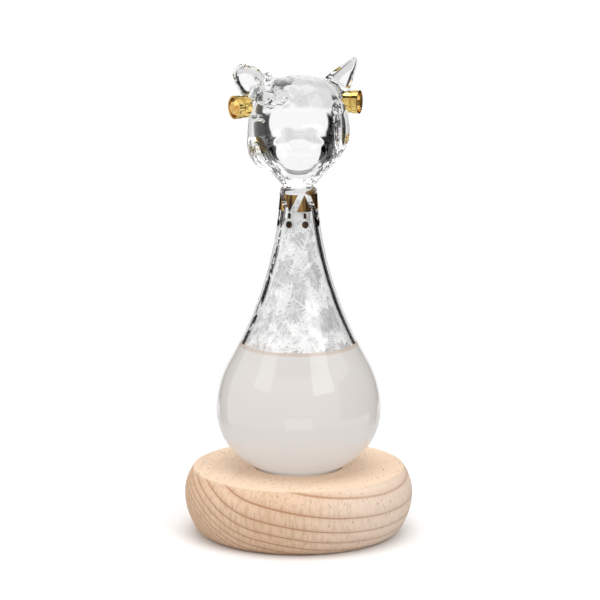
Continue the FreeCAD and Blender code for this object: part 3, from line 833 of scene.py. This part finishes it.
def add_ferns(store, count, lowest, highest, length, spread, barbs, inset):
    for _ in range(count):
        place = rng.uniform(0, 1) ** 1.2
        height = lowest + (highest - lowest) * place
        add_fern(
            *store,
            rng.uniform(0, 2 * math.pi),
            height,
            rng.uniform(*length),
            rng.uniform(-spread, spread),
            barbs,
            rng.uniform(*inset),
        )


def build_crystals():
    """Feathers over the frosted core, tufts along the liquid, and a few grown onto the wall."""
    tall, tufts = ([], []), ([], [])
    add_ferns(tall, 105, FILL + 0.5, 106, (7, 15), 1.3, 6, (0.4, 1.2))
    add_ferns(tall, 36, 96, 116, (4, 8), 1.5, 5, (0.4, 1.1))
    for _ in range(46):
        angle = math.pi + rng.uniform(-0.55, 0.55)
        height = rng.uniform(FILL + 4, 113)
        add_fern(*tall, angle, height, rng.uniform(2.5, 5), rng.uniform(-1.5, 1.5), 4, -0.12)
    add_ferns(tufts, 70, FILL, FILL + 4, (5, 9), 1.3, 5, (0.4, 1.2))
    piece = mesh_piece("feathers", *tall, "glass", crystal, False)
    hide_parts("crystal_feathers")
    piece = mesh_piece("tufts", *tufts, "glass", crystal, False)
    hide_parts("crystal_tufts")


# ---------------------------------------------------------------------------------------
# CAD nodes that are shown as they are
# ---------------------------------------------------------------------------------------
def dress(node, material):
    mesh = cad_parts[node].data
    mesh.materials.clear()
    mesh.materials.append(material)


build_glass()
build_liquid()
build_frost()
build_crystals()
dress("wooden_base", wood)
dress("seat_pad", felt)
dress("filler_plug", silicone)
dress("plug_seal", resin)
dress("collar_triangles_upright", gold_print)
dress("collar_triangles_inverted", gold_print)
dress("collar_bars", dark_print)
dress("collar_dots", dark_print)
for side in ("left", "right"):
    dress(f"{side}_stud_cup", gold_metal)
    dress(f"{side}_stud_stone", amber)


# ---------------------------------------------------------------------------------------
# Floor, light and camera
# ---------------------------------------------------------------------------------------
def build_floor():
    """Pale floor that fades out before its edge."""
    mesh = bpy.data.meshes.new("floor")
    reach = 0.45
    corners = [(-reach, -reach, 0), (reach, -reach, 0), (reach, reach, 0), (-reach, reach, 0)]
    mesh.from_pydata(corners, [], [(0, 1, 2, 3)])
    floor = bpy.data.objects.new("floor", mesh)
    bpy.context.scene.collection.objects.link(floor)
    shader = Shader("floor")
    seen = shader.add("ShaderNodeLightPath").outputs["Is Camera Ray"]
    grain = shader.noise(40.0, 2.0)
    paper = shader.mix(grain.outputs["Fac"], (0.93, 0.93, 0.93, 1), (0.96, 0.96, 0.96, 1))
    shader.coat(Base_Color=shader.mix(seen, (0.60, 0.60, 0.60, 1), paper), Roughness=0.9)
    distance = shader.add("ShaderNodeVectorMath", {0: shader.where()}, operation="LENGTH").outputs["Value"]
    fade = smooth_range(shader, distance, 0.06, 0.20)
    clear = shader.add("ShaderNodeBsdfTransparent")
    mixed = shader.add("ShaderNodeMixShader", {0: fade, 1: shader.surface.outputs[0], 2: clear.outputs[0]})
    shader.set(shader.output.inputs["Surface"], mixed)
    mesh.materials.append(shader.material)


def build_world():
    """White studio: bright behind the object, dark flags at the sides, three soft boxes in front.
    Azimuths are taken from the camera, so the studio turns with it."""
    world = bpy.data.worlds.new("studio")
    bpy.context.scene.world = world
    world.use_nodes = True
    tree = world.node_tree
    back = tree.nodes["Background"]

    def add(kind, inputs=None, **settings):
        node = tree.nodes.new(kind)
        for key, value in settings.items():
            setattr(node, key, value)
        for key, value in (inputs or {}).items():
            if isinstance(value, bpy.types.NodeSocket):
                tree.links.new(value, node.inputs[key])
            else:
                node.inputs[key].default_value = value
        return node.outputs[0]

    def maths(operation, a, b=0.0, c=0.0):
        return add("ShaderNodeMath", {0: a, 1: b, 2: c}, operation=operation)

    way = tree.nodes.new("ShaderNodeTexCoord").outputs["Generated"]
    turned = add("ShaderNodeVectorTransform", {0: way}, vector_type="VECTOR",
                 convert_from="WORLD", convert_to="CAMERA")
    seen = tree.nodes.new("ShaderNodeSeparateXYZ")
    tree.links.new(turned, seen.inputs[0])
    level = tree.nodes.new("ShaderNodeSeparateXYZ")
    tree.links.new(way, level.inputs[0])
    azimuth = maths("MULTIPLY", maths("ARCTAN2", seen.outputs["X"], seen.outputs["Z"]), 180 / math.pi)
    height = maths("MULTIPLY", maths("ARCSINE", level.outputs["Z"]), 180 / math.pi)
    aside = maths("ABSOLUTE", azimuth)

    def edge(value, at, soft):
        inputs = {0: value, 1: at - soft, 2: at + soft}
        return add("ShaderNodeMapRange", inputs, interpolation_type="SMOOTHSTEP")

    def between(value, low, high, soft):
        """1 from low to high and 0 outside, with edges this soft, in degrees."""
        rise = edge(value, low, soft)
        fall = edge(value, high, soft)
        return maths("MULTIPLY", rise, maths("SUBTRACT", 1.0, fall))

    def summed(terms):
        total = terms[0]
        for term in terms[1:]:
            total = maths("ADD", total, term)
        return total

    below_top = between(height, -95.0, 42.0, 4.0)
    above_horizon = between(height, -13.0, 200.0, 1.5)
    crown_card = maths("MULTIPLY", between(azimuth, 9.0, 60.0, 2.0), between(height, -62.0, -39.0, 2.0))
    above_screen = between(height, 40.0, 64.0, 4.0)
    back_glow = summed([
        maths("MULTIPLY", above_horizon, 0.24),
        maths("MULTIPLY", above_screen, -0.75),
        0.71,
    ])
    back_height = between(height, -95.0, 64.0, 3.0)
    flag_height = between(height, -26.0, 58.0, 3.0)
    around_flag = maths("MULTIPLY", maths("SUBTRACT", 1.0, flag_height), back_height)
    card_height = between(height, -10.0, 27.0, 1.5)
    card = maths("MULTIPLY", between(azimuth, 56.0, 120.0, 2.0), card_height)
    slit = maths("SUBTRACT", 1.0, maths("MULTIPLY", between(aside, 22.0, 60.0, 1.5), card_height))
    behind = maths("MULTIPLY", maths("MULTIPLY", between(aside, -10.0, 34.0, 2.0), back_height), back_glow)
    slit = maths("MULTIPLY", slit, maths("MULTIPLY_ADD", crown_card, -0.85, 1.0))
    behind = maths("MULTIPLY", behind, slit)
    flags = between(aside, 34.0, 60.0, 2.0)
    flag = maths("MULTIPLY", maths("MULTIPLY", maths("MULTIPLY", flags, around_flag), slit), 0.60)
    wings = maths("MAXIMUM", maths("SUBTRACT", between(aside, 60.0, 118.0, 3.0), card), 0.0)
    key_side = maths("MULTIPLY_ADD", between(azimuth, 60.0, 200.0, 3.0), 0.10, 0.92)
    sides = maths("MULTIPLY", maths("MULTIPLY", wings, back_height), key_side)
    front = maths("MULTIPLY", maths("MULTIPLY", between(aside, 118.0, 190.0, 3.0), below_top), 0.82)
    overhead = maths("MULTIPLY", between(height, 64.0, 120.0, 3.0), 3.2)
    left_box = maths("MULTIPLY", between(azimuth, -139.0, -110.0, 0.6), between(height, 21.0, 60.0, 0.8))
    right_box = maths("MULTIPLY", between(azimuth, 126.0, 159.0, 0.6), between(height, 21.0, 60.0, 0.8))
    low_box = maths("MULTIPLY", between(aside, 160.0, 200.0, 1.0), between(height, -34.0, -4.0, 1.0))
    boxes = summed([
        maths("MULTIPLY", left_box, 1.4),
        maths("MULTIPLY", right_box, 2.3),
        maths("MULTIPLY", low_box, 0.9),
    ])
    total = summed([behind, flag, sides, front, overhead, boxes])
    camera_ray = tree.nodes.new("ShaderNodeLightPath").outputs["Is Camera Ray"]
    strength = add("ShaderNodeMix", {"Factor": camera_ray, "A": total, "B": 1.0})
    back.inputs["Color"].default_value = (1, 1, 1, 1)
    tree.links.new(strength, back.inputs["Strength"])


def build_camera():
    """Long lens, eleven degrees above the table, straight at the cat's face."""
    low, high = cad_box
    shift_right = 0.0005
    shift_down = 0.00125
    middle = Vector((shift_right, 0.0, (low.z + high.z) / 2 - shift_down))
    rise = math.radians(11)
    distance = 1.1
    data = bpy.data.cameras.new("camera")
    camera = bpy.data.objects.new("camera", data)
    bpy.context.scene.collection.objects.link(camera)
    back = Vector((0, -math.cos(rise), math.sin(rise)))
    camera.location = middle + back * distance
    camera.rotation_mode = "QUATERNION"
    camera.rotation_quaternion = (-back).to_track_quat("-Z", "Y")
    frame_width = 0.2184
    data.lens = data.sensor_width * distance / frame_width
    data.clip_start = 0.05
    data.clip_end = 20
    bpy.context.scene.camera = camera


build_floor()
build_world()
build_camera()
scene = bpy.context.scene
scene.view_settings.view_transform = "Standard"
scene.cycles.max_bounces = 24
scene.cycles.transmission_bounces = 20
scene.cycles.transparent_max_bounces = 16
scene.cycles.diffuse_bounces = 10
scene.cycles.glossy_bounces = 6
